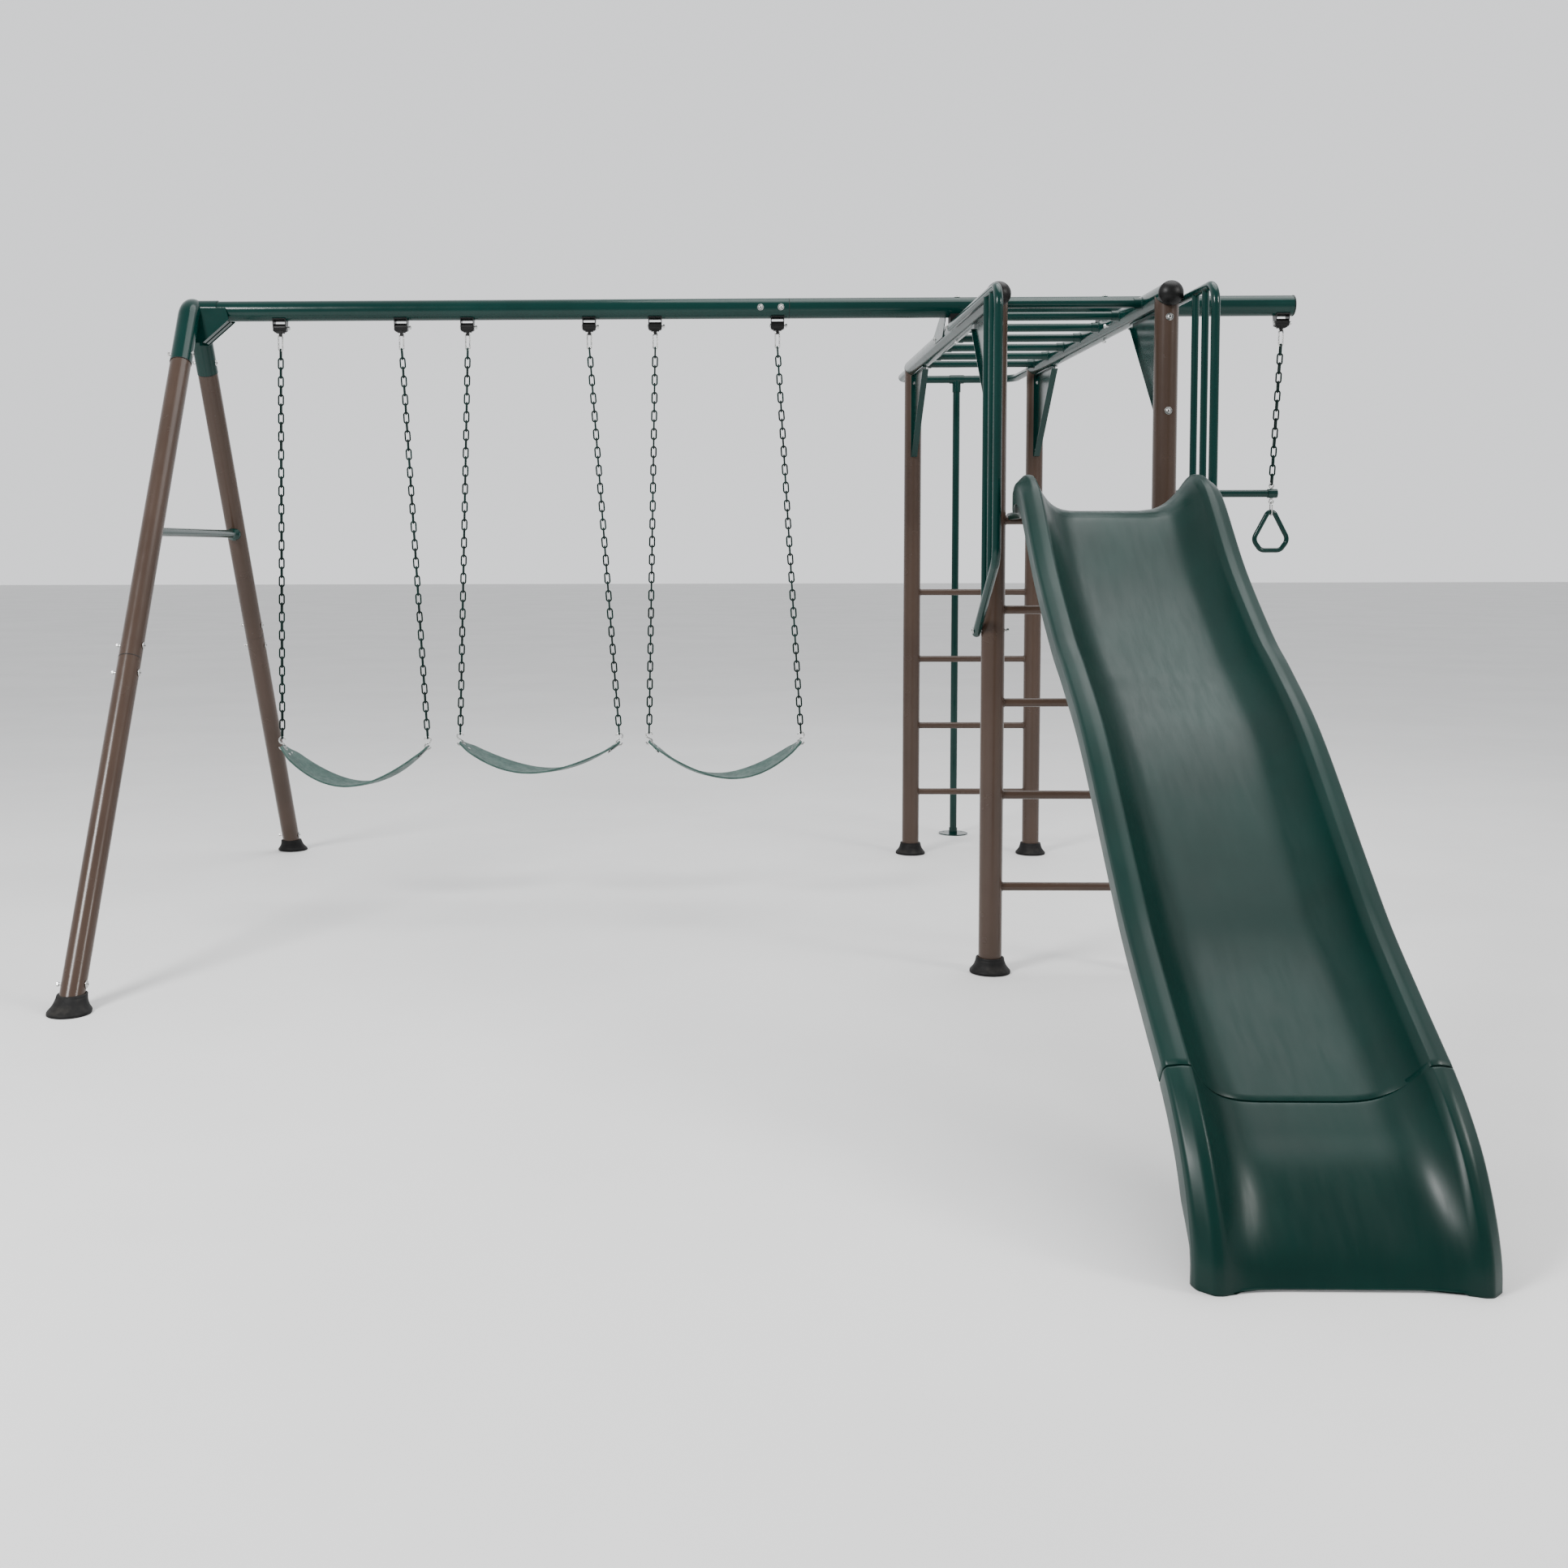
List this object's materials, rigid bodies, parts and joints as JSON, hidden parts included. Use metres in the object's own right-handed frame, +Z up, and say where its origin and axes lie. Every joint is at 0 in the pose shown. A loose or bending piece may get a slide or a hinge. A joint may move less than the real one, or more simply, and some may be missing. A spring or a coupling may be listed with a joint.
{
  "type": "playground swing set",
  "caption": "Tube-frame playground set with hanging belt swings, a trapeze bar with rings, a ladder tower with overhead bars, a wavy slide and a sliding pole.",
  "frame": {"origin": "middle of the whole footprint, on the ground", "axes": "+X along the beam towards the slide tower, +Y from the slide back to the pole, +Z up"},
  "size_m": [4.193, 5.148, 2.3545],
  "materials": {
    "green_paint": "gloss dark teal-green powder coat",
    "brown_paint": "satin taupe-brown powder coat",
    "black_paint": "satin black enamel",
    "black_rubber": "matt black moulded rubber",
    "black_plastic": "matt black moulded plastic",
    "slide_plastic": "satin dark green moulded polyethylene",
    "belt_polymer": "fine-grained green-grey soft belt",
    "chain_coat": "dark green plastisol coat",
    "zinc_steel": "bright zinc plate"
  },
  "bodies": {
    "frame": {"beam_end_cap": "green_paint", "beam_gussets": "green_paint", "beam_left": "green_paint", "beam_right": "green_paint", "beam_saddles": "black_plastic", "boots": "black_rubber", "end_crown": "green_paint", "end_crown_gussets": "green_paint", "fire_pole": "green_paint", "frame_bolts": "zinc_steel", "hand_rail_left": "green_paint", "hand_rail_right": "green_paint", "hanger_brackets": "black_paint", "hanger_pins": "zinc_steel", "ladder_rungs": "brown_paint", "leg_brace": "green_paint", "leg_lower_front": "brown_paint", "leg_lower_rear": "brown_paint", "leg_upper_front": "brown_paint", "leg_upper_rear": "brown_paint", "monkey_bars": "green_paint", "pole_base_plate": "green_paint", "pole_hoop": "green_paint", "pole_tee": "green_paint", "post_front_left": "brown_paint", "post_front_right": "brown_paint", "post_gussets": "green_paint", "post_rear_left": "brown_paint", "post_rear_right": "brown_paint", "rail_caps": "black_plastic", "rail_left": "green_paint", "rail_right": "green_paint", "slide_bar": "brown_paint", "slide_lower": "slide_plastic", "slide_upper": "slide_plastic"},
    "ring_left": {"ring_left_handle": "green_paint", "ring_left_link": "zinc_steel"},
    "ring_right": {"ring_right_handle": "green_paint", "ring_right_link": "zinc_steel"},
    "seat_1": {"seat_1_belt": "belt_polymer", "seat_1_eyes": "zinc_steel"},
    "seat_2": {"seat_2_belt": "belt_polymer", "seat_2_eyes": "zinc_steel"},
    "seat_3": {"seat_3_belt": "belt_polymer", "seat_3_eyes": "zinc_steel"},
    "swing_1": {"swing_1_bushes": "black_plastic", "swing_1_chains": "chain_coat", "swing_1_hooks": "zinc_steel"},
    "swing_2": {"swing_2_bushes": "black_plastic", "swing_2_chains": "chain_coat", "swing_2_hooks": "zinc_steel"},
    "swing_3": {"swing_3_bushes": "black_plastic", "swing_3_chains": "chain_coat", "swing_3_hooks": "zinc_steel"},
    "trapeze": {"trapeze_bar": "green_paint", "trapeze_bar_caps": "green_paint", "trapeze_bushes": "black_plastic", "trapeze_chains": "chain_coat", "trapeze_hooks": "zinc_steel"}
  },
  "joints": [
    {"name": "swing_1_pivot", "type": "hinge", "parent": "frame", "child": "swing_1", "pos_m": [-1.4705, 0.667, 2.238], "axis": [1, 0, 0], "range_deg": [-60, 60]},
    {"name": "seat_1_tilt", "type": "hinge", "parent": "swing_1", "child": "seat_1", "pos_m": [-1.4705, 0.667, 0.6418], "axis": [1, 0, 0], "range_deg": [-25, 25]},
    {"name": "swing_2_pivot", "type": "hinge", "parent": "frame", "child": "swing_2", "pos_m": [-0.7615, 0.667, 2.238], "axis": [1, 0, 0], "range_deg": [-60, 60]},
    {"name": "seat_2_tilt", "type": "hinge", "parent": "swing_2", "child": "seat_2", "pos_m": [-0.7615, 0.667, 0.65967], "axis": [1, 0, 0], "range_deg": [-25, 25]},
    {"name": "swing_3_pivot", "type": "hinge", "parent": "frame", "child": "swing_3", "pos_m": [-0.0545, 0.667, 2.238], "axis": [1, 0, 0], "range_deg": [-60, 60]},
    {"name": "seat_3_tilt", "type": "hinge", "parent": "swing_3", "child": "seat_3", "pos_m": [-0.0545, 0.667, 0.66237], "axis": [1, 0, 0], "range_deg": [-25, 25]},
    {"name": "trapeze_pivot", "type": "hinge", "parent": "frame", "child": "trapeze", "pos_m": [1.8215, 0.667, 2.238], "axis": [1, 0, 0], "range_deg": [-60, 60]},
    {"name": "ring_left_pivot", "type": "hinge", "parent": "trapeze", "child": "ring_left", "pos_m": [1.6165, 0.667, 1.5675], "axis": [1, 0, 0], "range_deg": [-60, 60]},
    {"name": "ring_right_pivot", "type": "hinge", "parent": "trapeze", "child": "ring_right", "pos_m": [2.0265, 0.667, 1.5675], "axis": [1, 0, 0], "range_deg": [-60, 60]}
  ]
}
